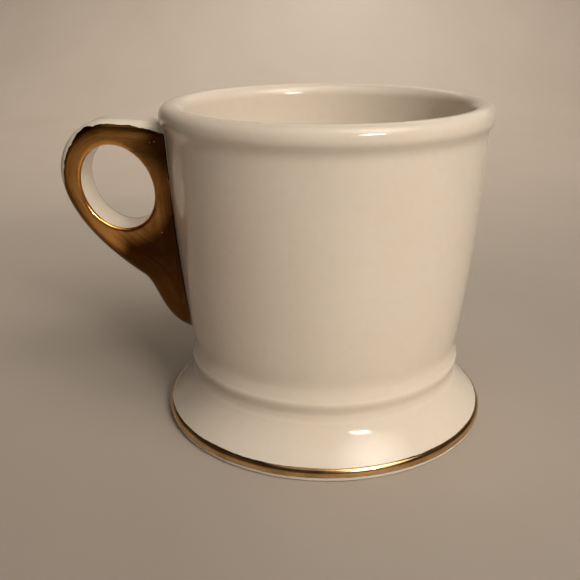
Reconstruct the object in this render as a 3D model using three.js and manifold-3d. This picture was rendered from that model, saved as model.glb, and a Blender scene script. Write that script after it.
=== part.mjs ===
// Shaving mug: a heavy glazed cup on a flared foot, with a ring handle whose tail runs down the wall.
// Millimetres, +Z up. The mug stands on z = 0, and the origin is under the middle of its bounding box.
// The handle reaches towards -X, and its ring lies in the XZ plane.

import * as THREE from 'three';
import { mergeVertices } from 'three/addons/utils/BufferGeometryUtils.js';
import Module from 'manifold-3d';

const wasm = await Module();
wasm.setup();

// ---- Driving dimensions. Radii and reaches are taken outwards from the cup's own axis. ----

// Foot: a rounded edge that stands on a flat ring, with a shallow recess inside it.
const EDGE_CENTRE = new THREE.Vector2(45.6, 1.8);
const EDGE_HALF_WIDTH = 1.25;
const EDGE_TOP_ANGLE = THREE.MathUtils.degToRad(75);
const RING_INNER_RADIUS = 39.5;
const RECESS_RADIUS = 37.5;
const RECESS_DEPTH = 2.5;

// Cove: the foot's upper face, from its edge up to the crease under the bead.
const COVE_LOW_BOW = new THREE.Vector2(42.5, 7.3);
const COVE_HIGH_BOW = new THREE.Vector2(39.3, 11.2);
const CREASE = new THREE.Vector2(38.7, 16.2);

// Bead: a soft roll round the bottom of the wall.
const BEAD_BOW = new THREE.Vector2(39.6, 19.2);
const BEAD_TOP = new THREE.Vector2(38.5, 22.0);

// Wall: the outside of the cup, from the bead up to the lip.
const WALL_BOW = new THREE.Vector2(42.2, 45.0);
const WALL_TOP = new THREE.Vector2(43.5, 82.0);

// Lip: an oval roll along the top of the wall.
const LIP_CENTRE = new THREE.Vector2(42.1, 86.2);
const LIP_HALF_WIDTH = 3.0;
const LIP_HALF_HEIGHT = 3.6;
const LIP_START_ANGLE = THREE.MathUtils.degToRad(-50);

// Inside of the cup: a bowed wall, a rounded corner and a flat floor.
const INNER_BOW = new THREE.Vector2(38.6, 50.0);
const FLOOR_HEIGHT = 9.0;
const FLOOR_RADIUS = 25.0;
const CORNER_RADIUS = 9.0;

// Handle: a flat-sided ring with every edge rounded, and a tail down the wall.
const HANDLE_THICKNESS = 12.4;
const HANDLE_EDGE = 2.4;
const HANDLE_TOP = 85.3;
const ROOT_TOP = 82.4;
const ROOT_REACH = 36.0; // the uncut handle starts inside the wall
const ROOT_BOW_REACH = 49.0;
const CROWN_CENTRE = new THREE.Vector2(59.3, 70.6);
const CROWN_REACH = 73.8;
const SIDE_BOW = new THREE.Vector2(73.8, 60.0);
const SIDE_LOW_BOW = new THREE.Vector2(63.0, 48.0);
const TAIL_START = new THREE.Vector2(52.5, 40.4);
const TAIL_BEND = new THREE.Vector2(49.4, 36.1);
const TAIL_NARROW = new THREE.Vector2(46.4, 30.1);
const TAIL_TIP = new THREE.Vector2(40.5, 24.2);

// Finger hole: a tilted oval.
const HOLE_CENTRE = new THREE.Vector2(57.5, 66.8);
const HOLE_HALF_WIDTH = 9.8;
const HOLE_HALF_HEIGHT = 12.1;
const HOLE_TILT = THREE.MathUtils.degToRad(23);

// Gilding. The fired film is much thinner than this, which is the least that makes a sound solid.
const GILDING_THICKNESS = 0.2;
const BAND_LOW_ANGLE = THREE.MathUtils.degToRad(-22);

// Clearance between the cup and the pieces that are cut to its wall.
const WALL_GAP = 0.2;

// How far the hole's cutter reaches past each cheek.
const CUTTER_EXCESS = 0.05;

// How many straight steps stand for each curve.
const ROUND_STEPS = 48;
const RING_EDGE_STEPS = 3;
const GILDED_EDGE_STEPS = 6;
const COVE_STEPS = 7;
const BEAD_STEPS = 5;
const WALL_STEPS = 7;
const LIP_STEPS = 12;
const CUTTER_LIP_STEPS = 8;
const INNER_WALL_STEPS = 6;
const CORNER_STEPS = 5;
const HANDLE_TOP_STEPS = 4;
const CROWN_STEPS = 10;
const SIDE_STEPS = 9;
const TAIL_STEPS = 8;
const HOLE_STEPS = 18; // in each half of the hole
const ROUNDED_EDGE_STEPS = 4;

// ---- Helpers ----

// Points on an oval arc. Angle 0 is outwards, and a quarter turn is up.
function ovalArc(centre, halfWidth, halfHeight, from, to, steps) {
  const curve = new THREE.EllipseCurve(centre.x, centre.y, halfWidth, halfHeight, from, to, to < from);
  return curve.getPoints(steps);
}

// Turns a profile of (radius, height) points round the Z axis.
function turn(profile) {
  const geometry = new THREE.LatheGeometry(profile, ROUND_STEPS);
  geometry.rotateX(Math.PI / 2);
  return geometry;
}

function toSolid(geometry) {
  const plain = geometry.clone();
  plain.deleteAttribute('normal');
  plain.deleteAttribute('uv');
  const merged = mergeVertices(plain);
  const vertProperties = Float32Array.from(merged.attributes.position.array);
  const triVerts = Uint32Array.from(merged.index.array);
  return new wasm.Manifold(new wasm.Mesh({ numProp: 3, vertProperties, triVerts }));
}

function toGeometry(solid) {
  const mesh = solid.getMesh();
  const geometry = new THREE.BufferGeometry();
  geometry.setAttribute('position', new THREE.BufferAttribute(mesh.vertProperties, 3));
  geometry.setIndex(new THREE.BufferAttribute(mesh.triVerts, 1));
  geometry.computeVertexNormals();
  return geometry;
}

// ---- Cup ----

// A stretch of the foot's rounded edge. grow moves it outwards.
function footEdge(fromAngle, toAngle, grow, steps) {
  const halfWidth = EDGE_HALF_WIDTH + grow;
  const halfHeight = EDGE_CENTRE.y + grow;
  return ovalArc(EDGE_CENTRE, halfWidth, halfHeight, fromAngle, toAngle, steps);
}

function gildedEdge(grow) {
  return footEdge(BAND_LOW_ANGLE, EDGE_TOP_ANGLE, grow, GILDED_EDGE_STEPS);
}

// The outside of the wall, from the bead to the lip.
function wallPoints() {
  return new THREE.QuadraticBezierCurve(BEAD_TOP, WALL_BOW, WALL_TOP).getPoints(WALL_STEPS);
}

function lipPoints(toAngle, grow, steps) {
  const halfWidth = LIP_HALF_WIDTH + grow;
  const halfHeight = LIP_HALF_HEIGHT + grow;
  return ovalArc(LIP_CENTRE, halfWidth, halfHeight, LIP_START_ANGLE, toAngle, steps);
}

// Foot, cove, bead and wall, from the resting ring up to the lip.
function outerPoints() {
  const ringEdge = footEdge(-Math.PI / 2, BAND_LOW_ANGLE, 0, RING_EDGE_STEPS);
  const edge = [...ringEdge, ...gildedEdge(0).slice(1)];
  const shoulder = edge[edge.length - 1];
  const coveCurve = new THREE.CubicBezierCurve(shoulder, COVE_LOW_BOW, COVE_HIGH_BOW, CREASE);
  const cove = coveCurve.getPoints(COVE_STEPS);
  const bead = new THREE.QuadraticBezierCurve(CREASE, BEAD_BOW, BEAD_TOP).getPoints(BEAD_STEPS);
  return [...edge, ...cove.slice(1), ...bead.slice(1), ...wallPoints().slice(1)];
}

function innerPoints(start) {
  const low = new THREE.Vector2(FLOOR_RADIUS + CORNER_RADIUS, FLOOR_HEIGHT + CORNER_RADIUS);
  const wall = new THREE.QuadraticBezierCurve(start, INNER_BOW, low).getPoints(INNER_WALL_STEPS);
  const cornerCentre = new THREE.Vector2(FLOOR_RADIUS, FLOOR_HEIGHT + CORNER_RADIUS);
  const corner = ovalArc(cornerCentre, CORNER_RADIUS, CORNER_RADIUS, 0, -Math.PI / 2, CORNER_STEPS);
  return [...wall.slice(1), ...corner.slice(1), new THREE.Vector2(0, FLOOR_HEIGHT)];
}

function undersidePoints() {
  return [
    new THREE.Vector2(0, RECESS_DEPTH),
    new THREE.Vector2(RECESS_RADIUS, RECESS_DEPTH),
    new THREE.Vector2(RING_INNER_RADIUS, 0),
  ];
}

function cupGeometry() {
  const lip = lipPoints(Math.PI, 0, LIP_STEPS);
  const inside = innerPoints(lip[lip.length - 1]);
  return turn([...undersidePoints(), ...outerPoints(), ...lip.slice(1), ...inside]);
}

// ---- Handle ----

// A point in the handle's plane, where reaching outwards is towards -X.
function outward(point) {
  return new THREE.Vector2(-point.x, point.y);
}

function handleShape() {
  const crownTop = new THREE.Vector2(CROWN_CENTRE.x, HANDLE_TOP);
  const crownSide = new THREE.Vector2(CROWN_REACH, CROWN_CENTRE.y);
  const rootTop = new THREE.Vector2(ROOT_REACH, ROOT_TOP);
  const rootBow = new THREE.Vector2(ROOT_BOW_REACH, HANDLE_TOP);
  const rootLow = new THREE.Vector2(ROOT_REACH, TAIL_TIP.y);
  const crownWidth = CROWN_REACH - CROWN_CENTRE.x;
  const crownHeight = HANDLE_TOP - CROWN_CENTRE.y;
  const top = new THREE.QuadraticBezierCurve(rootTop, rootBow, crownTop).getPoints(HANDLE_TOP_STEPS);
  const crown = ovalArc(CROWN_CENTRE, crownWidth, crownHeight, Math.PI / 2, 0, CROWN_STEPS);
  const sideCurve = new THREE.CubicBezierCurve(crownSide, SIDE_BOW, SIDE_LOW_BOW, TAIL_START);
  const side = sideCurve.getPoints(SIDE_STEPS);
  const tailCurve = new THREE.SplineCurve([TAIL_START, TAIL_BEND, TAIL_NARROW, TAIL_TIP]);
  const tail = tailCurve.getPoints(TAIL_STEPS);
  const outline = [...top, ...crown.slice(1), ...side.slice(1), ...tail.slice(1), rootLow];
  return new THREE.Shape(outline.map(outward));
}

function holeShape() {
  const centre = outward(HOLE_CENTRE);
  const hole = new THREE.Shape();
  hole.absellipse(centre.x, centre.y, HOLE_HALF_WIDTH, HOLE_HALF_HEIGHT, 0, 2 * Math.PI, false, HOLE_TILT);
  return hole;
}

// Extrudes a shape and stands it up in the XZ plane, halfway between front and back.
function standUp(shape, options) {
  const geometry = new THREE.ExtrudeGeometry(shape, options);
  geometry.rotateX(Math.PI / 2);
  geometry.computeBoundingBox();
  const box = geometry.boundingBox;
  geometry.translate(0, -(box.min.y + box.max.y) / 2, 0);
  return geometry;
}

function handleBlank() {
  const blank = standUp(handleShape(), {
    depth: HANDLE_THICKNESS - 2 * HANDLE_EDGE,
    bevelThickness: HANDLE_EDGE,
    bevelSize: HANDLE_EDGE,
    bevelOffset: -HANDLE_EDGE,
    bevelSegments: ROUNDED_EDGE_STEPS,
  });
  return toSolid(blank).subtract(toSolid(holeCutter()));
}

// The finger hole as a solid. It flares out at both ends to round the hole's edges.
function holeCutter() {
  return standUp(holeShape(), {
    depth: HANDLE_THICKNESS - 2 * HANDLE_EDGE,
    curveSegments: HOLE_STEPS,
    bevelThickness: HANDLE_EDGE + CUTTER_EXCESS,
    bevelSize: -HANDLE_EDGE,
    bevelOffset: HANDLE_EDGE,
    bevelSegments: ROUNDED_EDGE_STEPS,
  });
}

// A skin on the flat of one cheek, drawn in from the handle's rounded edges. side is -1 or 1 along Y.
function cheekSkin(side) {
  const plate = standUp(handleShape(), {
    depth: 0,
    bevelThickness: GILDING_THICKNESS / 2,
    bevelSize: 0,
    bevelOffset: -HANDLE_EDGE,
    bevelSegments: 1,
  });
  const middle = (side * (HANDLE_THICKNESS + GILDING_THICKNESS)) / 2;
  plate.translate(0, middle, 0);
  const hole = standUp(holeShape(), {
    depth: HANDLE_THICKNESS + 2 * GILDING_THICKNESS,
    curveSegments: HOLE_STEPS,
    bevelThickness: CUTTER_EXCESS,
    bevelSize: 0,
    bevelOffset: HANDLE_EDGE,
    bevelSegments: 1,
  });
  return toSolid(plate).subtract(toSolid(hole));
}

// A prism with the cup's outside as its section, moved out by the gap. It runs straight along Y, and is
// twice as long as the handle is thick, so the gap is least in the handle's middle plane.
function wallCutter() {
  const wall = outerPoints().slice(1);
  const lip = lipPoints(Math.PI / 2, WALL_GAP, CUTTER_LIP_STEPS);
  const section = [...wall.map((point) => new THREE.Vector2(point.x + WALL_GAP, point.y)), ...lip];
  const low = new THREE.Vector2(0, section[0].y);
  const high = new THREE.Vector2(0, section[section.length - 1].y);
  const shape = new THREE.Shape([low, ...section, high].map(outward));
  return toSolid(standUp(shape, { depth: 2 * HANDLE_THICKNESS, bevelEnabled: false }));
}

function cutToWall(solid) {
  return toGeometry(solid.subtract(wallCutter()));
}

// ---- Gilding on the foot ----

// A skin over the rounded edge, closed back along the edge itself.
function bandGeometry() {
  const outside = gildedEdge(GILDING_THICKNESS);
  const inside = gildedEdge(0).reverse();
  return turn([...outside, ...inside, outside[0].clone()]);
}

// ---- Assembly ----

const group = new THREE.Group();

function add(name, geometry, finish) {
  const mesh = new THREE.Mesh(geometry, new THREE.MeshStandardMaterial(finish));
  mesh.name = name;
  group.add(mesh);
}

const ivoryGlaze = { color: 0xe9dcc6, roughness: 0.12, metalness: 0.0 };
const goldLustre = { color: 0xb5813c, roughness: 0.25, metalness: 1.0 };

add('mug_body', cupGeometry(), ivoryGlaze);
add('handle', cutToWall(handleBlank()), ivoryGlaze);
add('handle_gilding_front', cutToWall(cheekSkin(-1)), goldLustre);
add('handle_gilding_back', cutToWall(cheekSkin(1)), goldLustre);
add('foot_gilding_band', bandGeometry(), goldLustre);

// Moves the cup's axis off the origin, so that the bounding box is centred on it.
const box = new THREE.Box3().setFromObject(group);
group.position.x = -(box.min.x + box.max.x) / 2;

export default group;
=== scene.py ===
"""Looks of the shaving mug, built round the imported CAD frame.

The cup is turned from one smooth profile. The handle and its fillet into the wall are the zero
surface of a distance field, meshed and then drawn exactly onto it. The gilding is a thin film cut
from those same surfaces along a wavering hand-painted edge. Shapes are worked out in millimetres,
from the cup's own axis, and turned into metres in the frame when a mesh is made.
"""

import math

import bpy
import numpy as np
from mathutils import Matrix, Vector, noise


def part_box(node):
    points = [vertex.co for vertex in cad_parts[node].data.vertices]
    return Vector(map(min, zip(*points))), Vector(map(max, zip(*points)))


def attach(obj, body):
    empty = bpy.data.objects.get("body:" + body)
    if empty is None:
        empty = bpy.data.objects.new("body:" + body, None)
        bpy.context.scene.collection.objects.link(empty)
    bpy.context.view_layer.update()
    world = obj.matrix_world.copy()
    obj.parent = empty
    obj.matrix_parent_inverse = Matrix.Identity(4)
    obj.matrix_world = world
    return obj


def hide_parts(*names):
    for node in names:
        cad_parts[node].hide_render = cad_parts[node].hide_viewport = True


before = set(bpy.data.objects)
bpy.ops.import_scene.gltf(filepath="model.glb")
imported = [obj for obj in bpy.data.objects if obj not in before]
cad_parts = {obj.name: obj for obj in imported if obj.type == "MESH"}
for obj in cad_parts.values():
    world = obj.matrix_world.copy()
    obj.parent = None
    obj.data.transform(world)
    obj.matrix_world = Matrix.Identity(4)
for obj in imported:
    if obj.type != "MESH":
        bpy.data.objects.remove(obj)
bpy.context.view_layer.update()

MM = 0.001

noise.seed_set(7)  # noise_vector otherwise starts from the time of day


# ---- Sizes from the frame, in millimetres ----

def box_mm(node):
    low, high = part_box(node)
    return np.array(low) / MM, np.array(high) / MM


cup_low, cup_high = box_mm("mug_body")
handle_low, handle_high = box_mm("handle")

AXIS_X = (cup_low[0] + cup_high[0]) / 2
MUG_HEIGHT = cup_high[2]
FOOT_RADIUS = (cup_high[0] - cup_low[0]) / 2
SWAY = 0.10  # how far a piece is out of true at most, apart from a fine ripple
CROWN_REACH = AXIS_X - handle_low[0] - SWAY
HANDLE_TOP = handle_high[2]
TAIL_BOTTOM = handle_low[2]
HALF_THICKNESS = handle_high[1]

# ---- Cup profile, as (radius, height) ----

CREASE = (38.5, 15.6)
BEAD_TOP = (38.5, 22.0)

LIP_CREST_RADIUS = 42.1
LIP_OUT_WIDTH = 3.0  # from the crest out to the widest place, which is LIP_OUT_DROP lower
LIP_OUT_DROP = 3.4
LIP_SHOULDER_POWER = 0.86  # under 1 makes the shoulder squarer than an oval
LIP_IN_WIDTH = 3.2
LIP_IN_DROP = 3.4
UNDER_LIP = ((43.5, 82.7), (43.85, 84.0), (45.1, 84.8))
WALL_TOP = (43.45, 80.9)
WALL_BOW = (42.2, 45.0)
WAIST = ((39.0, 25.4), (38.7, 23.6), (38.57, 22.0), (38.7, 20.6), (39.05, 19.0))
BEAD = ((39.42, 18.0), (39.32, 17.0), (38.98, 16.0))
GROOVE = ((38.76, 15.0), (38.8, 14.1), (38.99, 13.2))
COVE_HIGH_BOW = (39.1, 11.0)
COVE_LOW_BOW = (42.5, 7.3)
JOIN_GAP = 0.8  # how far the cove and the wall stop short of the roll between them
EDGE_HEIGHT = 1.8  # of the widest place, and half the height of the rounded edge
EDGE_HALF_WIDTH = 1.25
EDGE_TOP_ANGLE = math.radians(75)
EDGE_LOW_POWER = 0.6  # under 1 makes the lower corner squarer than an oval
RING_INNER_RADIUS = 39.5
RECESS_RADIUS = 37.5
RECESS_DEPTH = 2.5
RECESS_CORNER = 1.6  # how far before the recess's wall its ceiling begins to turn down
RECESS_LEAN = 0.5
FLOOR_HEIGHT = 9.0
FLOOR_RADIUS = 25.0
CORNER_RADIUS = 9.0
INNER_BOW = (38.6, 50.0)

# ---- Handle, as (reach from the cup's axis, height) ----

HANDLE_ROUNDING = 2.6
HOLE_ROUNDING = 1.1
CROWN_CENTRE = (59.3, 70.6)
ROOT_TOP = (36.0, 82.4)
ROOT_BOW_REACH = 49.0
SIDE_BOW_HEIGHT = 60.0
SIDE_LOW_BOW = (63.0, 48.0)
TAIL_START = (52.5, 40.4)
TAIL_BOWS = ((48.9, 37.8), (48.2, 27.3))
TAIL_TIP_REACH = 40.5
HOLE_CENTRE = (57.5, 66.8)
HOLE_HALF_WIDTH = 9.8
HOLE_HALF_HEIGHT = 12.1
HOLE_TILT = math.radians(23)
ROOT_FILLET = 2.6
ROOT_SINK = 0.03  # how far under the glaze the fillet's edge ends
ROOT_BURIED = 0.8  # how far inside the wall the handle is closed off
CROWNING = 0.07  # share of the thickness lost towards the handle's outer edge
CROWN_WIDTH = 3.4
TAIL_THINNING = 0.30  # share of the thickness lost at the tail's tip
THIN_BELOW = 58  # the height that the thinning starts from
THICKNESS_BLUR = 0.8
DISH_DEPTH = 0.75
DISH_START = 2.2  # how far inside the cheek's edges the dish begins
DISH_WIDTH = 5.0
DISH_BLUR = 1.8

# ---- Gilding ----

FILM = 0.05  # thickness above the glaze, drawn thicker than life so that it covers
FILM_SUNK = 0.06  # how far below the glaze its underside lies

# How far the paint stops short of the handle's outline, in millimetres, against the angle round
# the hole, in degrees. The brush was lifted at the top of the crown, which leaves a step there.
PAINT_STOPS = (
    (-180, -0.6), (-60, -0.6), (-22, 0.05), (0, 0.7), (20, 1.4), (45, 1.3), (58, 0.7), (65, 0.45),
    (71, 0.9), (95, 0.95), (120, 1.5), (130, 1.8), (180, 1.8),
)
WRAP_FULL = 0.5  # how far past the outline the paint is meant to go where it wraps right round
TAIL_BARE = 1.2  # half the bare strip that the brush left along the tail's outer edge
# How squarely the surface still faces to the side where the paint ends, from 0 to 1.
OVER_FACING = 0.03
HOLE_FACING = 0.22
WALL_CLEARANCE = ((30, 0.13), (60, 0.13), (80, 0.4))  # bare glaze beside the wall, against height
MIDDLE_CLEARANCE = 0.8  # neither cheek's paint comes nearer to the handle's middle plane
STEADY_SHARE = 0.25  # how much of the waver is left beside the wall and at the hole
FRONT_SEED = 7.0
BACK_SEED = 31.0

BAND_LOW_ANGLE = math.radians(-8)
BAND_STRIP = (math.radians(-24), math.radians(88))  # what the band is cut from
BAND_STROKE = 1.3  # millimetres across the band for each radian round its edge
BAND_RUBBED = 0.6

# ---- Fineness of the meshes ----

CUP_SEGMENTS = 288
HANDLE_GRID = 0.36
HANDLE_ROUNDS = 4
BAND_SEGMENTS = 900
BAND_STEPS = 26


# ---- Curves ----

def arc(centre, half_width, half_height, start, end, steps):
    angles = np.linspace(start, end, steps + 1)
    x = centre[0] + half_width * np.cos(angles)
    y = centre[1] + half_height * np.sin(angles)
    return np.column_stack((x, y))


def bezier(points, steps):
    """Points on a Bezier curve of any degree."""
    points = np.array(points, float)
    t = np.linspace(0, 1, steps + 1)[:, None]
    degree = len(points) - 1
    total = np.zeros((steps + 1, 2))
    for i, point in enumerate(points):
        total += math.comb(degree, i) * t**i * (1 - t) ** (degree - i) * point
    return total


def join(*runs):
    """One line from several, with the points that two runs share kept once."""
    points = [runs[0][0]]
    for run in runs:
        for point in run:
            if np.linalg.norm(np.subtract(point, points[-1])) > 1e-6:
                points.append(point)
    return np.array(points)


def spline(points, steps):
    """A smooth curve through all the points, with as many steps between each pair."""
    points = np.array(points, float)
    padded = np.vstack((2 * points[0] - points[1], points, 2 * points[-1] - points[-2]))
    t = np.linspace(0, 1, steps, endpoint=False)[:, None]
    runs = []
    for a, b, c, d in zip(padded, padded[1:], padded[2:], padded[3:]):
        cubic = (2 * a - 5 * b + 4 * c - d) * t**2 + (3 * b - a - 3 * c + d) * t**3
        runs.append((2 * b + (c - a) * t + cubic) / 2)
    return np.vstack((*runs, points[-1]))


def foot_edge(start, end, steps):
    """The foot's rounded edge: an oval above, and a squarer corner below that the mug stands on."""
    angles = np.linspace(start, end, steps + 1)
    power = np.where(angles < 0, EDGE_LOW_POWER, 1.0)
    across = np.abs(np.cos(angles)) ** power
    up = np.sign(np.sin(angles)) * np.abs(np.sin(angles)) ** power
    radius = FOOT_RADIUS - EDGE_HALF_WIDTH + EDGE_HALF_WIDTH * across
    return np.column_stack((radius, EDGE_HEIGHT + EDGE_HEIGHT * up))


def outer_profile():
    """The cup's outside, from the resting ring up to the crest of the lip."""
    edge = foot_edge(-math.pi / 2, EDGE_TOP_ANGLE, 22)
    cove = bezier((edge[-1], COVE_LOW_BOW, COVE_HIGH_BOW, CREASE), 40)
    cove = cove[cove[:, 1] < GROOVE[-1][1] - JOIN_GAP]
    wall = bezier((BEAD_TOP, WALL_BOW, WALL_TOP), 60)
    wall = wall[wall[:, 1] > WAIST[0][1] + JOIN_GAP]
    roll = spline((cove[-1], *GROOVE[::-1], *BEAD[::-1], *WAIST[::-1], wall[0]), 5)
    angles = np.linspace(0, math.pi / 2, 25)
    lip_out = LIP_CREST_RADIUS + LIP_OUT_WIDTH * np.cos(angles) ** LIP_SHOULDER_POWER
    lip_up = MUG_HEIGHT - LIP_OUT_DROP * (1 - np.sin(angles) ** LIP_SHOULDER_POWER)
    lip = np.column_stack((lip_out, lip_up))
    under = bezier((WALL_TOP, *UNDER_LIP, lip[0]), 16)
    return join(edge, cove, roll, wall, under, lip)


def inner_profile():
    """The cup's inside, from the crest of the lip down to the middle of the floor."""
    lip_centre = (LIP_CREST_RADIUS, MUG_HEIGHT - LIP_IN_DROP)
    lip = arc(lip_centre, LIP_IN_WIDTH, LIP_IN_DROP, math.pi / 2, math.pi, 18)
    corner = (FLOOR_RADIUS, FLOOR_HEIGHT + CORNER_RADIUS)
    low = (FLOOR_RADIUS + CORNER_RADIUS, corner[1])
    wall = bezier((lip[-1], INNER_BOW, low), 34)
    round_in = arc(corner, CORNER_RADIUS, CORNER_RADIUS, 0, -math.pi / 2, 16)
    floor = np.column_stack((np.linspace(FLOOR_RADIUS, 0, 8), np.full(8, FLOOR_HEIGHT)))
    return join(lip, wall, round_in, floor)


def underside_profile():
    """The recess and the ring that the mug stands on, from the axis outwards."""
    reaches = np.linspace(0, RECESS_RADIUS - RECESS_CORNER, 8)
    ceiling = np.column_stack((reaches, np.full(8, RECESS_DEPTH)))
    bows = ((RECESS_RADIUS, RECESS_DEPTH), (RECESS_RADIUS + RECESS_LEAN, 0))
    step = bezier((ceiling[-1], *bows, (RING_INNER_RADIUS, 0)), 10)
    ring = np.array(((RING_INNER_RADIUS, 0.0), (FOOT_RADIUS - EDGE_HALF_WIDTH, 0.0)))
    return join(ceiling, step, ring)


def handle_outline():
    """The handle from the side: along its top, round the crown, and down the tail into the wall."""
    crown_top = (CROWN_CENTRE[0], HANDLE_TOP)
    crown_side = (CROWN_REACH, CROWN_CENTRE[1])
    tip = (TAIL_TIP_REACH, TAIL_BOTTOM)
    top = bezier((ROOT_TOP, (ROOT_BOW_REACH, HANDLE_TOP), crown_top), 24)
    crown_width = CROWN_REACH - CROWN_CENTRE[0]
    crown_height = HANDLE_TOP - CROWN_CENTRE[1]
    crown = arc(CROWN_CENTRE, crown_width, crown_height, math.pi / 2, 0, 40)
    side = bezier((crown_side, (CROWN_REACH, SIDE_BOW_HEIGHT), SIDE_LOW_BOW, TAIL_START), 40)
    tail = bezier((TAIL_START, *TAIL_BOWS, tip), 24)
    root_low = np.array(((ROOT_TOP[0], TAIL_BOTTOM),))
    return join(top, crown, side, tail, root_low)


def hole_outline():
    points = arc((0, 0), HOLE_HALF_WIDTH, HOLE_HALF_HEIGHT, 0, 2 * math.pi, 120)[:-1]
    cos, sin = math.cos(HOLE_TILT), math.sin(HOLE_TILT)
    tilted = points @ np.array(((cos, -sin), (sin, cos)))
    return tilted + np.array(HOLE_CENTRE)


# ---- Distance fields ----

class Plan:
    """A smooth function on a plane, kept on a grid and read between its points by a cubic."""

    STEP = 0.25

    def __init__(self, low, high):
        self.low = np.array(low, float)
        size = np.ceil((np.array(high) - self.low) / self.STEP).astype(int) + 1
        axes = [self.low[i] + self.STEP * np.arange(size[i]) for i in range(2)]
        self.places = np.stack(np.meshgrid(*axes, indexing="ij"), axis=-1)
        self.values = np.zeros(size)

    def fill_distance(self, polygon):
        """Signed distance to a closed polygon, negative inside it."""
        places = self.places.reshape(-1, 2)
        nearest = np.full(len(places), np.inf)
        inside = np.zeros(len(places), bool)
        for a, b in zip(polygon, np.roll(polygon, -1, axis=0)):
            along = b - a
            share = np.clip(((places - a) @ along) / (along @ along), 0, 1)
            distance = np.linalg.norm(places - a - share[:, None] * along, axis=1)
            nearest = np.minimum(nearest, distance)
            if a[1] != b[1]:
                straddles = (a[1] > places[:, 1]) != (b[1] > places[:, 1])
                cross = a[0] + (places[:, 1] - a[1]) * along[0] / along[1]
                inside ^= straddles & (places[:, 0] < cross)
        self.values = np.where(inside, -nearest, nearest).reshape(self.values.shape)
        return self

    def blur(self, width):
        """Softens the values by a bell curve of that width, in millimetres."""
        reach = int(3 * width / self.STEP)
        offsets = np.arange(-reach, reach + 1) * self.STEP
        weights = np.exp(-0.5 * (offsets / width) ** 2)
        weights /= weights.sum()
        for axis in range(2):
            margins = [(reach, reach) if i == axis else (0, 0) for i in range(2)]
            padded = np.pad(self.values, margins, "edge")
            size = self.values.shape[axis]
            parts = []
            for k, weight in enumerate(weights):
                parts.append(weight * np.take(padded, np.arange(k, k + size), axis))
            self.values = np.sum(parts, axis=0)
        return self

    def read(self, first, second):
        """The value at each place, by cubic interpolation."""
        x = np.clip((first - self.low[0]) / self.STEP, 1, self.values.shape[0] - 3)
        y = np.clip((second - self.low[1]) / self.STEP, 1, self.values.shape[1] - 3)
        i, j = x.astype(int), y.astype(int)
        weights_x, weights_y = cubic_weights(x - i), cubic_weights(y - j)
        total = 0.0
        for a in range(4):
            row = 0.0
            for b in range(4):
                row = row + weights_y[b] * self.values[i + a - 1, j + b - 1]
            total = total + weights_x[a] * row
        return total


def cubic_weights(t):
    """Weights of four neighbours for a smooth curve through the middle two."""
    return (
        ((-t + 2) * t - 1) * t / 2,
        ((3 * t - 5) * t * t + 2) / 2,
        ((-3 * t + 4) * t + 1) * t / 2,
        ((t - 1) * t * t) / 2,
    )


def smooth_min(a, b, size):
    """The smaller of the two, with a fillet about as wide as size where they are alike."""
    share = np.maximum(size - np.abs(a - b), 0) / size
    return np.minimum(a, b) - share * share * size / 4


def smooth_max(a, b, size):
    return -smooth_min(-a, -b, size)


def smooth_step(value):
    t = np.clip(value, 0, 1)
    return t * t * (3 - 2 * t)


class HandleField:
    """Signed distance at (x, y, z) places to the handle, alone and blended into the cup."""

    def __init__(self):
        # The plans reach a few millimetres past everything that is read from them.
        low = (ROOT_TOP[0] - 3, TAIL_BOTTOM - 6)
        high = (CROWN_REACH + 4, MUG_HEIGHT + 4)
        self.outline = Plan(low, high).fill_distance(handle_outline())
        self.hole = Plan(low, high).fill_distance(hole_outline())
        cup = join(outer_profile(), np.array(((0.0, MUG_HEIGHT), (0.0, 0.0))))
        self.cup = Plan((ROOT_TOP[0] - 8, TAIL_BOTTOM - 10), high).fill_distance(cup)
        self.thickness = self.half_thickness(low, high)

    def half_thickness(self, low, high):
        """Half the thickness: crowned across the ring, dished in the web, thinner at the tail."""
        plan = Plan(low, high)
        inside = np.minimum(-self.outline.values, self.hole.values)
        crowned = 1 - CROWNING * (1 - np.clip(-self.outline.values / CROWN_WIDTH, 0, 1)) ** 2
        height = plan.places[..., 1]
        down = (THIN_BELOW - height) / (THIN_BELOW - TAIL_BOTTOM)
        thinned = 1 - TAIL_THINNING * smooth_step(down)
        dish = Plan(low, high)
        dish.values = DISH_DEPTH * smooth_step((inside - DISH_START) / DISH_WIDTH)
        plan.values = (HALF_THICKNESS - FILM) * crowned * thinned
        plan.blur(THICKNESS_BLUR).values -= dish.blur(DISH_BLUR).values
        return plan

    def handle(self, places):
        reach = -places[..., 0]
        height = places[..., 2]
        half = self.thickness.read(reach, height)
        across = self.outline.read(reach, height) + HANDLE_ROUNDING
        through = np.abs(places[..., 1]) - (half - HANDLE_ROUNDING)
        outside = np.hypot(np.maximum(across, 0), np.maximum(through, 0))
        slab = outside + np.minimum(np.maximum(across, through), 0) - HANDLE_ROUNDING
        return smooth_max(slab, -self.hole.read(reach, height), HOLE_ROUNDING)

    def wall(self, places):
        radius = np.hypot(places[..., 0], places[..., 1])
        return self.cup.read(radius, places[..., 2])

    def blended(self, places):
        """The handle with its fillet, closed off just under the wall's surface."""
        handle = self.handle(places)
        wall = self.wall(places)
        joined = smooth_min(handle, wall + ROOT_SINK, ROOT_FILLET)
        return np.maximum(np.maximum(joined, handle - ROOT_FILLET), -(wall + ROOT_BURIED))


def gradient(function, places, step=0.02):
    result = np.zeros_like(places)
    for axis in range(3):
        shift = np.zeros(3)
        shift[axis] = step
        result[:, axis] = (function(places + shift) - function(places - shift)) / (2 * step)
    return result


def unit(vectors):
    return vectors / np.maximum(np.linalg.norm(vectors, axis=1), 1e-9)[:, None]


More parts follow.
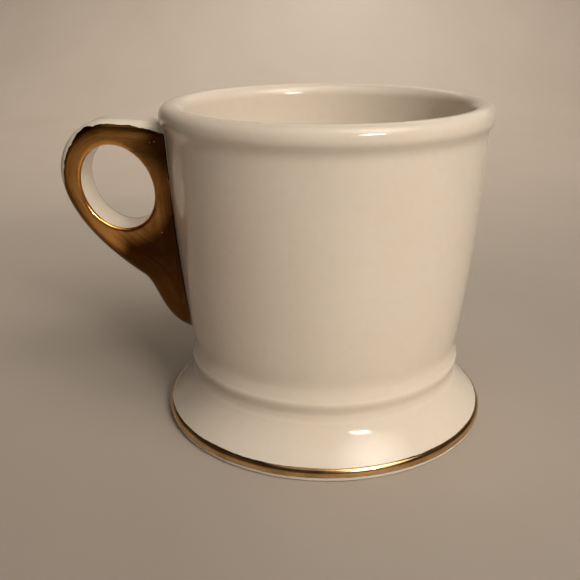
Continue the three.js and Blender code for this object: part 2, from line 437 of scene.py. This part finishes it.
def surface_net(function, low, high, step):
    """Quads along the zero surface of a function, with one corner in each grid cell it crosses."""
    axes = [np.arange(low[i], high[i] + step, step) for i in range(3)]
    grid = np.stack(np.meshgrid(*axes, indexing="ij"), axis=-1)
    values = np.concatenate([function(sheet[None]) for sheet in grid])
    cells = np.array(values.shape) - 1
    total = np.zeros((*cells, 3))
    count = np.zeros(cells)
    crossings = []
    for axis in range(3):
        below = np.take(values, np.arange(cells[axis]), axis)
        above = np.take(values, np.arange(1, cells[axis] + 1), axis)
        where = np.argwhere((below < 0) != (above < 0))
        start, end = below[tuple(where.T)], above[tuple(where.T)]
        point = where.astype(float)
        point[:, axis] += start / (start - end)
        neighbours = []
        for back_b, back_c in ((0, 0), (1, 0), (1, 1), (0, 1)):
            cell = where.copy()
            cell[:, (axis + 1) % 3] -= back_b
            cell[:, (axis + 2) % 3] -= back_c
            neighbours.append(cell)
            np.add.at(total, tuple(cell.T), point)
            np.add.at(count, tuple(cell.T), 1)
        crossings.append((neighbours, start < 0))
    index = np.full(cells, -1)
    used = count > 0
    index[used] = np.arange(used.sum())
    corners = np.array(low) + step * total[used] / count[used][:, None]
    quads = []
    for neighbours, outward in crossings:
        ring = np.column_stack([index[tuple(cell.T)] for cell in neighbours])
        quads.append(np.where(outward[:, None], ring, ring[:, ::-1]))
    return corners, np.concatenate(quads)


def settle(function, corners, quads, rounds):
    """Evens the corners out along the surface and draws them exactly onto it."""
    pull = 0.5  # towards the middle of a corner's neighbours
    least_slope = 0.25  # squared, so that a nearly level place can't throw a corner far
    longest_move = 0.3
    edges = np.concatenate([quads[:, (i, (i + 1) % 4)] for i in range(4)])
    for _ in range(rounds):
        total = np.zeros_like(corners)
        count = np.zeros(len(corners))
        np.add.at(total, edges[:, 0], corners[edges[:, 1]])
        np.add.at(count, edges[:, 0], 1)
        corners = corners + pull * (total / count[:, None] - corners)
        for _ in range(2):
            slope = gradient(function, corners)
            size = np.maximum((slope * slope).sum(axis=1), least_slope)
            move = slope * (function(corners) / size)[:, None]
            corners = corners - np.clip(move, -longest_move, longest_move)
    return corners


# ---- Meshes ----

def sway(places):
    """The slow unevenness of a fired piece, sideways only, so that the mug still stands flat."""
    ripple = 0.012
    slow_scale, fine_scale = 0.021, 0.085
    moved = places.copy()
    for i, place in enumerate(places):
        slow = noise.noise_vector(Vector(place) * slow_scale)
        fine = noise.noise_vector(Vector(place) * fine_scale)
        moved[i, 0] += SWAY * slow.x + ripple * fine.x
        moved[i, 1] += SWAY * slow.y + ripple * fine.y
    return moved


def make_object(name, corners, faces, material, sharp=(), stroke=None, lustre_tone=None):
    """A smooth-shaded mesh, from millimetres from the cup's axis to metres in the frame.

    stroke says how far across the brush's path each corner lies, for the streaks in the gilding.
    The last argument says how far the gilding's colour goes from dark to light there, from 0 to 1;
    on the cheeks it is painted reflection and shade.
    """
    places = (sway(corners) + np.array((AXIS_X, 0, 0))) * MM
    mesh = bpy.data.meshes.new(name)
    mesh.from_pydata(places.tolist(), [], [tuple(map(int, face)) for face in faces])
    mesh.polygons.foreach_set("use_smooth", [True] * len(mesh.polygons))
    if len(sharp):
        pairs = {tuple(sorted(map(int, pair))) for pair in sharp}
        flags = [tuple(sorted(edge.vertices)) in pairs for edge in mesh.edges]
        mesh.edges.foreach_set("use_edge_sharp", flags)
    for label, values in (("stroke", stroke), ("lustre_tone", lustre_tone)):
        if values is not None:
            mesh.attributes.new(label, "FLOAT", "POINT").data.foreach_set("value", values)
    mesh.materials.append(material)
    mesh.update()
    thing = bpy.data.objects.new(name, mesh)
    bpy.context.scene.collection.objects.link(thing)
    return thing


def turned(profile, segments):
    """A closed body of revolution, from a profile that starts and ends on the axis."""
    angles = 2 * math.pi * np.arange(segments) / segments
    round_part = profile[1:-1]
    x = np.outer(round_part[:, 0], np.cos(angles))
    y = np.outer(round_part[:, 0], np.sin(angles))
    z = np.repeat(round_part[:, 1][:, None], segments, axis=1)
    corners = np.stack((x, y, z), axis=-1).reshape(-1, 3)
    bottom, top = len(corners), len(corners) + 1
    corners = np.vstack((corners, (0, 0, profile[0][1]), (0, 0, profile[-1][1])))
    faces = []
    rows = len(round_part)
    for row in range(rows - 1):
        for i in range(segments):
            j = (i + 1) % segments
            a, b = row * segments, (row + 1) * segments
            faces.append((a + i, a + j, b + j, b + i))
    last = (rows - 1) * segments
    for i in range(segments):
        j = (i + 1) % segments
        faces.append((bottom, j, i))
        faces.append((last + i, last + j, top))
    return corners, faces


def split_quads(quads):
    return np.concatenate((quads[:, (0, 1, 2)], quads[:, (0, 2, 3)]))


def clip(corners, normals, triangles, keep):
    """The part of a triangle mesh where keep is positive, cut cleanly along its zero line."""
    points = list(corners)
    directions = list(normals)
    cuts = {}

    def cut(a, b):
        key = (min(a, b), max(a, b))
        if key not in cuts:
            share = keep[a] / (keep[a] - keep[b])
            cuts[key] = len(points)
            points.append(corners[a] + share * (corners[b] - corners[a]))
            directions.append(normals[a] + share * (normals[b] - normals[a]))
        return cuts[key]

    positive = keep > 0
    inside = positive[triangles].sum(axis=1)
    kept = [tuple(triangle) for triangle in triangles[inside == 3]]
    for triangle in triangles[(inside == 1) | (inside == 2)]:
        # The first corner is the one on its own side of the line.
        signs = positive[triangle]
        first = next(i for i in range(3) if signs[i] != signs[i - 1] and signs[i] != signs[i - 2])
        a, b, c = (int(triangle[(first + i) % 3]) for i in range(3))
        if positive[a]:
            kept.append((a, cut(a, b), cut(a, c)))
        else:
            kept.append((cut(a, b), b, c))
            kept.append((cut(a, b), c, cut(a, c)))
    kept = np.array(kept)
    used, packed = np.unique(kept, return_inverse=True)
    return np.array(points)[used], unit(np.array(directions)[used]), packed.reshape(kept.shape)


def film(corners, normals, triangles):
    """A thin closed skin over a surface, and the edges of it that stay sharp."""
    count = len(corners)
    directed = np.concatenate([triangles[:, (i, (i + 1) % 3)] for i in range(3)])
    known = {(int(a), int(b)) for a, b in directed}
    rim = sorted((a, b) for a, b in known if (b, a) not in known)
    both = np.vstack((corners + FILM * normals, corners - FILM_SUNK * normals))
    faces = [tuple(t) for t in triangles]
    faces += [(a + count, c + count, b + count) for a, b, c in triangles]
    faces += [(b, a, a + count, b + count) for a, b in rim]
    sharp = rim + [(a + count, b + count) for a, b in rim]
    return both, faces, sharp


# ---- Materials ----

GLAZE_PALE = (0.835, 0.77, 0.672)
GLAZE_WARM = (0.815, 0.74, 0.632)
GLAZE_GRAIN = (0.72, 0.60, 0.45)
GLAZE_SPECK = (0.16, 0.085, 0.04)
BARE_CLAY = (0.70, 0.64, 0.54)
BARE_BELOW = (0.00035, 0.00012)  # in metres: no bare clay above the first, only that below the last
# The cheeks' gilding runs from the dark colour to the light one by a painted reflection and shade.
CHEEK_DARK = (0.062, 0.021, 0.004)
CHEEK_LIGHT = (0.95, 0.48, 0.14)
BAND_DARK = (0.24, 0.10, 0.02)
BAND_LIGHT = (0.90, 0.62, 0.32)
LUSTRE_PIT = (0.60, 0.45, 0.28)
STUDIO_DARK = (0.43, 0.385, 0.335)
STUDIO_LIGHT = (0.455, 0.41, 0.36)


class Nodes:
    """A short way to write a material's node tree."""

    def __init__(self, name):
        self.material = bpy.data.materials.new(name)
        self.material.use_nodes = True
        self.tree = self.material.node_tree
        self.shader = self.tree.nodes["Principled BSDF"]
        self.place = self.new("ShaderNodeTexCoord").outputs["Object"]

    def new(self, kind, **settings):
        node = self.tree.nodes.new(kind)
        for key, value in settings.items():
            setattr(node, key, value)
        return node

    def link(self, source, target):
        self.tree.links.new(source, target)

    def set(self, **values):
        for key, value in values.items():
            self.shader.inputs[key.replace("_", " ")].default_value = value

    def noise(self, scale, detail=2.0, rough=0.5, distortion=0.0, place=None):
        node = self.new("ShaderNodeTexNoise")
        node.inputs["Scale"].default_value = scale
        node.inputs["Detail"].default_value = detail
        node.inputs["Roughness"].default_value = rough
        node.inputs["Distortion"].default_value = distortion
        self.link(place or self.place, node.inputs["Vector"])
        return node.outputs["Fac"]

    def remap(self, value, low, high, to_low=0.0, to_high=1.0):
        node = self.new("ShaderNodeMapRange", clamp=True)
        limits = {"From Min": low, "From Max": high, "To Min": to_low, "To Max": to_high}
        for key, number in limits.items():
            node.inputs[key].default_value = number
        self.link(value, node.inputs["Value"])
        return node.outputs["Result"]

    def math(self, operation, first, second):
        node = self.new("ShaderNodeMath", operation=operation)
        for socket, value in zip(node.inputs, (first, second)):
            if isinstance(value, (int, float)):
                socket.default_value = value
            else:
                self.link(value, socket)
        return node.outputs["Value"]

    def mix(self, factor, first, second):
        node = self.new("ShaderNodeMix", data_type="RGBA")
        self.link(factor, node.inputs["Factor"])
        for socket, value in ((node.inputs["A"], first), (node.inputs["B"], second)):
            if isinstance(value, tuple):
                socket.default_value = (*value, 1)
            else:
                self.link(value, socket)
        return node.outputs["Result"]

    def bump(self, heights):
        """Heights are (value, distance in metres) pairs, laid one over another."""
        normal = None
        for value, distance in heights:
            node = self.new("ShaderNodeBump")
            node.inputs["Strength"].default_value = 1.0
            node.inputs["Distance"].default_value = distance
            self.link(value, node.inputs["Height"])
            if normal is not None:
                self.link(normal, node.inputs["Normal"])
            normal = node.outputs["Normal"]
        self.link(normal, self.shader.inputs["Normal"])


def specks(nodes, scale, size, share):
    """Small round dots: 1 in a dot and 0 elsewhere, in only a share of the cells."""
    core = 0.55  # share of a dot's size where it is at its full strength
    cells = nodes.new("ShaderNodeTexVoronoi")
    cells.inputs["Scale"].default_value = scale
    nodes.link(nodes.place, cells.inputs["Vector"])
    split = nodes.new("ShaderNodeSeparateColor")
    nodes.link(cells.outputs["Color"], split.inputs["Color"])
    chosen = nodes.math("LESS_THAN", split.outputs["Red"], share)
    dot = nodes.remap(cells.outputs["Distance"], size, size * core)
    return nodes.math("MULTIPLY", chosen, dot)


def glaze_material():
    nodes = Nodes("ivory_glaze")
    nodes.set(IOR=1.52, Subsurface_Weight=0.12, Subsurface_Scale=0.004, Coat_Weight=0.0)
    nodes.shader.inputs["Subsurface Radius"].default_value = (1.0, 0.7, 0.45)
    cloud = nodes.remap(nodes.noise(34, 3.0), 0.32, 0.68)
    tone = nodes.mix(cloud, GLAZE_PALE, GLAZE_WARM)
    fine = nodes.remap(nodes.noise(420, 2.0), 0.45, 0.75)
    tone = nodes.mix(nodes.math("MULTIPLY", fine, 0.12), tone, GLAZE_GRAIN)
    dots = specks(nodes, 105, 0.028, 0.16)
    tone = nodes.mix(nodes.math("MULTIPLY", dots, 0.75), tone, GLAZE_SPECK)
    height = nodes.new("ShaderNodeSeparateXYZ")
    nodes.link(nodes.place, height.inputs["Vector"])
    bare = nodes.remap(height.outputs["Z"], *BARE_BELOW)
    tone = nodes.mix(bare, tone, BARE_CLAY)
    nodes.link(tone, nodes.shader.inputs["Base Color"])
    gloss = nodes.remap(nodes.noise(70, 3.0), 0.3, 0.7, 0.06, 0.13)
    rough = nodes.math("MAXIMUM", gloss, nodes.math("MULTIPLY", bare, 0.7))
    nodes.link(rough, nodes.shader.inputs["Roughness"])
    nodes.bump(((nodes.noise(55, 1.0), 0.00008), (nodes.noise(900, 2.0), 0.000004)))
    return nodes.material


def gold_material(name, across, along, dark, light):
    """Brushed-on lustre. across and along are its streaks to a millimetre, each way."""
    nodes = Nodes(name)
    nodes.set(Metallic=1.0)
    lanes = nodes.new("ShaderNodeAttribute", attribute_name="stroke").outputs["Fac"]
    route = nodes.new("ShaderNodeSeparateXYZ")
    nodes.link(nodes.place, route.inputs["Vector"])
    path = nodes.new("ShaderNodeCombineXYZ")
    nodes.link(nodes.math("MULTIPLY", lanes, across), path.inputs["X"])
    nodes.link(nodes.math("MULTIPLY", route.outputs["X"], along / MM), path.inputs["Y"])
    nodes.link(nodes.math("MULTIPLY", route.outputs["Z"], along / MM), path.inputs["Z"])
    streaks = nodes.noise(1.0, 4.0, 0.55, 0.1, path.outputs["Vector"])
    patches = nodes.noise(130, 3.0, 0.55)
    lustre_tone = nodes.new("ShaderNodeAttribute", attribute_name="lustre_tone").outputs["Fac"]
    uneven = nodes.math("ADD", streaks, patches)
    # The streaks show most where the tone is light, and a very little everywhere. On the cheeks the
    # tone is painted reflection and shade: the light colour is laid where light would be reflected.
    lustre_tone = nodes.math("MULTIPLY", lustre_tone, nodes.remap(uneven, 0.75, 1.25, 0.6, 1.4))
    lustre_tone = nodes.math("ADD", lustre_tone, nodes.remap(uneven, 0.7, 1.3, -0.02, 0.02))
    tone = nodes.mix(nodes.remap(lustre_tone, 0, 1), dark, light)
    pits = specks(nodes, 520, 0.15, 0.025)
    tone = nodes.mix(nodes.math("MULTIPLY", pits, 0.7), tone, LUSTRE_PIT)
    nodes.link(tone, nodes.shader.inputs["Base Color"])
    shine = nodes.remap(patches, 0.3, 0.7, 0.13, 0.24)
    rough = nodes.math("ADD", shine, nodes.math("MULTIPLY", pits, 0.3))
    nodes.link(rough, nodes.shader.inputs["Roughness"])
    nodes.bump(((streaks, 0.000008), (nodes.noise(700, 3.0), 0.000004)))
    return nodes.material


def floor_material():
    nodes = Nodes("studio_floor")
    grain = nodes.remap(nodes.noise(14, 4.0), 0.3, 0.7)
    nodes.link(nodes.mix(grain, STUDIO_DARK, STUDIO_LIGHT), nodes.shader.inputs["Base Color"])
    nodes.set(Roughness=0.6)
    nodes.bump(((nodes.noise(600, 2.0), 0.00002),))
    return nodes.material


# ---- Pieces ----

def make_cup(glaze):
    profile = join(underside_profile(), outer_profile(), inner_profile())
    corners, faces = turned(profile, CUP_SEGMENTS)
    cup = make_object("cup", corners, faces, glaze)
    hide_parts("mug_body")
    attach(cup, "root")


def handle_surface(field):
    """The handle and its fillet as a mesh, searched for in a box with room all round them."""
    low = (-CROWN_REACH - 1.5, -HALF_THICKNESS - 6, TAIL_BOTTOM - 5)
    high = (-LIP_CREST_RADIUS + 6, HALF_THICKNESS + 6, MUG_HEIGHT + 1)
    corners, quads = surface_net(field.blended, low, high, HANDLE_GRID)
    return settle(field.blended, corners, quads, HANDLE_ROUNDS), quads


def make_handle(corners, quads, glaze):
    handle = make_object("ring_handle", corners, quads, glaze)
    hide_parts("handle")
    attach(handle, "root")


def brush_line(places, scale, seed, strength):
    """The waver of a brushed edge: a slow swing with a finer, weaker one on it.

    It is in the same unit as its strength.
    """
    finer, weaker = 4.7, 0.45
    shift = Vector((seed, 2.3 * seed, -seed))
    slow = np.array([noise.noise(Vector(place) * scale + shift) for place in places])
    fast = np.array([noise.noise(Vector(place) * scale * finer + shift) for place in places])
    return strength * (slow + weaker * fast)


def gilded_share(field, corners, seed):
    """How far inside its painted edge each place on a cheek is, and negative where it is bare."""
    reach, height = -corners[:, 0], corners[:, 2]
    facing = np.abs(unit(gradient(field.handle, corners))[:, 1])
    angle = np.degrees(np.arctan2(height - HOLE_CENTRE[1], reach - HOLE_CENTRE[0]))
    short = np.interp(angle, *zip(*PAINT_STOPS))
    slope = np.clip(1 - short / HANDLE_ROUNDING, -0.999, 1.0)
    limit = np.sqrt(np.maximum(1 - slope * slope, 0))
    limit = np.where(short < 0, OVER_FACING, limit)
    at_hole = field.hole.read(reach, height) < -field.outline.read(reach, height)
    limit = np.where(at_hole, HOLE_FACING, limit)
    rounded = (facing - limit) * HANDLE_ROUNDING
    # Down the tail the paint wraps round to a line just short of the middle of the outer edge.
    wraps = np.where(at_hole, 0.0, smooth_step(-short / WRAP_FULL))
    rounded = (1 - wraps) * rounded + wraps * (np.abs(corners[:, 1]) - TAIL_BARE)
    clear_of_wall = field.wall(corners) - np.interp(height, *zip(*WALL_CLEARANCE))
    waver = brush_line(corners, scale=0.32, seed=seed, strength=0.22)
    waver_share = np.where(at_hole | (clear_of_wall < rounded), STEADY_SHARE, 1.0)
    return np.minimum(rounded, clear_of_wall) + waver_share * waver


def painted_reflection_share(field, places):
    """Painted reflection and shade in the gilding's tone: light on the ring and in a margin all
    round the hole, dark on the ring's outer edge, in the web and at the root, a little lighter down
    the tail.
    """
    reach, height = -places[:, 0], places[:, 2]
    from_edge = -field.outline.read(reach, height)
    from_hole = field.hole.read(reach, height)
    # The ring is where the handle is narrow, and its outer edge is left dark as a painted dark
    # reflection.
    narrow = smooth_step((11.2 - from_edge - from_hole) / 4.8)
    ring = narrow * smooth_step((from_edge - 0.9) / 2.6)
    margin = 0.46 * smooth_step((6.4 - from_hole) / 5.9)
    tail = 0.06 * smooth_step((50 - height) / 10)
    return np.maximum(np.maximum(ring, margin), tail)


def make_cheek_gilding(name, node, side, field, corners, quads, gold):
    """The gilding of one cheek. side is -1 for the front and 1 for the back."""
    triangles = split_quads(quads)
    normals = unit(gradient(field.blended, corners))
    share = gilded_share(field, corners, FRONT_SEED if side < 0 else BACK_SEED)
    share = np.minimum(share, side * corners[:, 1] - MIDDLE_CLEARANCE)
    skin = clip(corners, normals, triangles, share)
    both, faces, sharp = film(*skin)
    stroke = -field.outline.read(-both[:, 0], both[:, 2])
    gilding = make_object(name, both, faces, gold, sharp, stroke, painted_reflection_share(field, both))
    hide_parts(node)
    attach(gilding, "root")


def make_band(gold):
    """The gilded edge of the foot: a strip round it, cut to two wavering painted lines."""
    low, high = BAND_STRIP
    strip = foot_edge(low, high, BAND_STEPS)
    rows = BAND_STEPS + 1
    angles = 2 * math.pi * np.arange(BAND_SEGMENTS) / BAND_SEGMENTS
    arcs = np.tile(np.linspace(low, high, rows), (BAND_SEGMENTS, 1)).reshape(-1)
    turns = np.repeat(angles, rows)
    radius, height = np.tile(strip, (BAND_SEGMENTS, 1)).T
    corners = np.column_stack((radius * np.cos(turns), radius * np.sin(turns), height))
    tilt_out = np.cos(arcs) / EDGE_HALF_WIDTH
    tilt_up = np.sin(arcs) / EDGE_HEIGHT
    slopes = np.column_stack((tilt_out * np.cos(turns), tilt_out * np.sin(turns), tilt_up))
    quads = []
    for i in range(BAND_SEGMENTS):
        a, b = i * rows, ((i + 1) % BAND_SEGMENTS) * rows
        for k in range(BAND_STEPS):
            quads.append((a + k, b + k, b + k + 1, a + k + 1))
    upper = EDGE_TOP_ANGLE + brush_line(corners, scale=0.16, seed=3.0, strength=0.10)
    upper += brush_line(corners, scale=1.1, seed=9.0, strength=0.05)
    lower = BAND_LOW_ANGLE + brush_line(corners, scale=0.12, seed=17.0, strength=0.04)
    share = np.minimum(upper - arcs, arcs - lower)
    skin = clip(corners, unit(slopes), split_quads(np.array(quads)), share)
    both, faces, sharp = film(*skin)
    out = np.hypot(both[:, 0], both[:, 1]) - FOOT_RADIUS + EDGE_HALF_WIDTH
    stroke = BAND_STROKE * np.arctan2(both[:, 2] - EDGE_HEIGHT, out)
    lustre_tone = np.full(len(both), BAND_RUBBED)
    band = make_object("foot_band", both, faces, gold, sharp, stroke, lustre_tone)
    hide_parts("foot_gilding_band")
    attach(band, "root")


# ---- Camera, floor and light ----

EYE_DISTANCE = 215.7  # in millimetres, from the cup's axis
EYE_HEIGHT = 116.7
EYE_PITCH = math.radians(20.80)
EYE_YAW = math.radians(2.69)
EYE_ROLL = math.radians(-0.40)
SENSOR_WIDTH = 36
LENS = 48.41

# The floor and the wall that it sweeps up into, in metres.
STUDIO_REACH = 1.6
STUDIO_NEARER = 0.9  # how much nearer the wall stands straight behind the mug
STUDIO_HEIGHT = 1.6
STUDIO_BEND = 0.25
STUDIO_SEGMENTS = 72

MIDDLE = Vector((AXIS_X * MM, 0, MUG_HEIGHT * MM / 2))
WARM_LIGHT = (1.0, 0.89, 0.78)
ROOM_COLOR = (0.60, 0.52, 0.43, 1)
ROOM_STRENGTH = 0.025


def make_camera():
    """The eye is in front of the cup and looks down at it, turned a little to the handle."""
    data = bpy.data.cameras.new("camera")
    data.sensor_width = SENSOR_WIDTH
    data.lens = LENS
    data.clip_start = 0.01
    camera = bpy.data.objects.new("camera", data)
    turn = Matrix.Rotation(EYE_YAW, 4, "Z")
    turn = turn @ Matrix.Rotation(math.pi / 2 - EYE_PITCH, 4, "X")
    turn = turn @ Matrix.Rotation(EYE_ROLL, 4, "Z")
    place = Matrix.Translation(Vector((AXIS_X, -EYE_DISTANCE, EYE_HEIGHT)) * MM)
    camera.matrix_world = place @ turn
    bpy.context.scene.collection.objects.link(camera)
    bpy.context.scene.camera = camera


def floor_section(reach):
    """The floor from near the mug out to its wall and up it, as (distance, height)."""
    flat = reach - STUDIO_BEND
    section = [(flat * share, 0.0) for share in (0.2, 0.5, 0.8, 1.0)]
    for angle in np.linspace(0.1, math.pi / 2, 16):
        rise = STUDIO_BEND * (1 - math.cos(angle))
        section.append((flat + STUDIO_BEND * math.sin(angle), rise))
    for share in (0.3, 0.6, 1.0):
        section.append((reach, STUDIO_BEND + (STUDIO_HEIGHT - STUDIO_BEND) * share))
    return section


def make_floor():
    """A plain pale floor that sweeps up into a wall all round, nearest behind the mug."""
    corners, faces = [], []
    turns = np.linspace(0, 2 * math.pi, STUDIO_SEGMENTS, endpoint=False)
    for turn in turns:
        reach = STUDIO_REACH - STUDIO_NEARER * max(math.cos(turn), 0.0) ** 2
        corners += [(r * math.sin(turn), r * math.cos(turn), z) for r, z in floor_section(reach)]
    rows = len(corners) // len(turns)
    for i in range(len(turns)):
        a, b = i * rows, (i + 1) % len(turns) * rows
        faces.append((len(corners), b, a))
        faces += [(a + k, b + k, b + k + 1, a + k + 1) for k in range(rows - 1)]
    corners.append((0.0, 0.0, 0.0))
    mesh = bpy.data.meshes.new("studio_floor")
    mesh.from_pydata(corners, [], faces)
    mesh.polygons.foreach_set("use_smooth", [True] * len(mesh.polygons))
    mesh.materials.append(floor_material())
    floor = bpy.data.objects.new("studio_floor", mesh)
    bpy.context.scene.collection.objects.link(floor)


def around(azimuth, elevation, distance):
    """A place round the mug's middle. Azimuth 0 is in front of it, and 90 is to its right."""
    azimuth, elevation = math.radians(azimuth), math.radians(elevation)
    flat = distance * math.cos(elevation)
    up = distance * math.sin(elevation)
    return MIDDLE + Vector((flat * math.sin(azimuth), -flat * math.cos(azimuth), up))


def add_light(name, place, aim, size, power, spread):
    """A rectangular lamp. size is in metres, power in watts and spread in degrees."""
    data = bpy.data.lights.new(name, "AREA")
    data.shape = "RECTANGLE"
    data.size, data.size_y = size
    data.energy = power
    data.spread = math.radians(spread)
    data.color = WARM_LIGHT
    light = bpy.data.objects.new(name, data)
    place = Vector(place)
    facing = (Vector(aim) - place).to_track_quat("-Z", "Y").to_matrix().to_4x4()
    light.matrix_world = Matrix.Translation(place) @ facing
    bpy.context.scene.collection.objects.link(light)


def make_lights():
    bpy.context.scene.view_settings.view_transform = "Standard"
    world = bpy.data.worlds.new("studio")
    world.use_nodes = True
    background = world.node_tree.nodes["Background"]
    background.inputs["Color"].default_value = ROOM_COLOR
    background.inputs["Strength"].default_value = ROOM_STRENGTH
    bpy.context.scene.world = world
    add_light("key", around(30, 25, 0.75), MIDDLE, (0.17, 0.034), 0.17, 50)
    add_light("soft_key", around(46, 50, 1.0), MIDDLE, (1.1, 1.1), 1.72, 50)
    add_light("back_fill", around(160, 35, 0.75), MIDDLE, (0.9, 0.5), 0.28, 110)
    add_light("overhead", (0.1, -0.55, 1.35), MIDDLE, (1.4, 1.2), 2.0, 180)
    add_light("backdrop_light", (0.1, 0.05, 1.1), (0.0, 0.75, 0.15), (0.8, 0.3), 2.8, 74)


# ---- The whole ----

make_camera()
make_floor()
make_lights()

glaze = glaze_material()
cheek_gold = gold_material("cheek_gold", 0.9, 0.05, CHEEK_DARK, CHEEK_LIGHT)
band_gold = gold_material("band_gold", 1.1, 0.11, BAND_DARK, BAND_LIGHT)

make_cup(glaze)
field = HandleField()
corners, quads = handle_surface(field)
make_handle(corners, quads, glaze)
for name, node, side in (
    ("cheek_gold_front", "handle_gilding_front", -1),
    ("cheek_gold_back", "handle_gilding_back", 1),
):
    make_cheek_gilding(name, node, side, field, corners, quads, cheek_gold)
make_band(band_gold)
